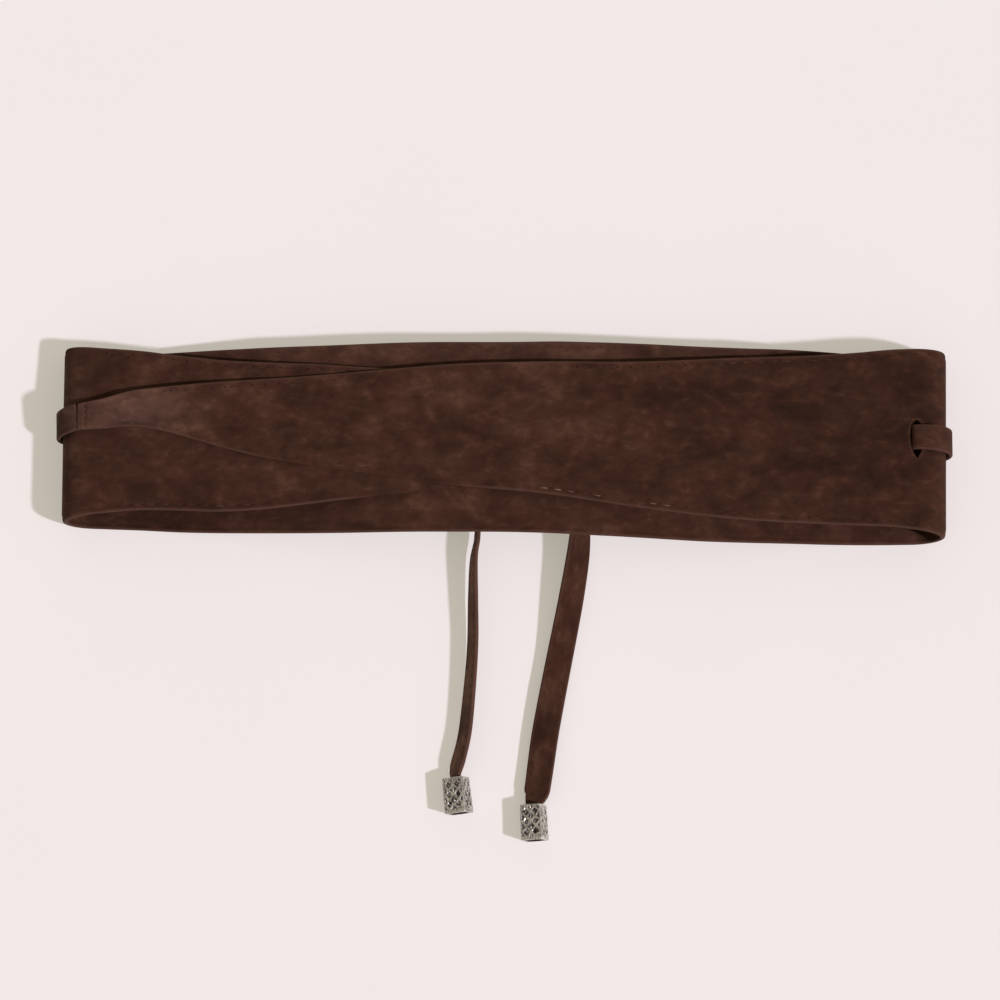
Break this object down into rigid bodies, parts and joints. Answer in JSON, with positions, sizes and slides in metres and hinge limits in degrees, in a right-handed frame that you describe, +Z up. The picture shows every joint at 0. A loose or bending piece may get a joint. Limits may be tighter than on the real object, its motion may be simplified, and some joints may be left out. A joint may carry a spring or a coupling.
{
  "type": "wrap belt",
  "caption": "Wide suede wrap belt, wrapped once into a flattened loop, crossed at the front and tied with narrow straps that end in square metal beads.",
  "frame": {"origin": "on the surface it lies on, below the middle of the whole belt's box, free ends included", "axes": "+X along the flattened loop towards the fold with the slot, +Z up away from the surface, -Y towards the free strap ends"},
  "size_m": [0.3788, 0.2104, 0.0299],
  "materials": {
    "suede": "dark brown suede, napped, matt",
    "silver": "antique silver plate, dark in the recesses, bright on the raised parts"
  },
  "bodies": {
    "root": {"panel": "suede", "strap_outer": "suede", "strap_inner": "suede", "bead_right": "silver", "bead_left": "silver"}
  },
  "joints": []
}
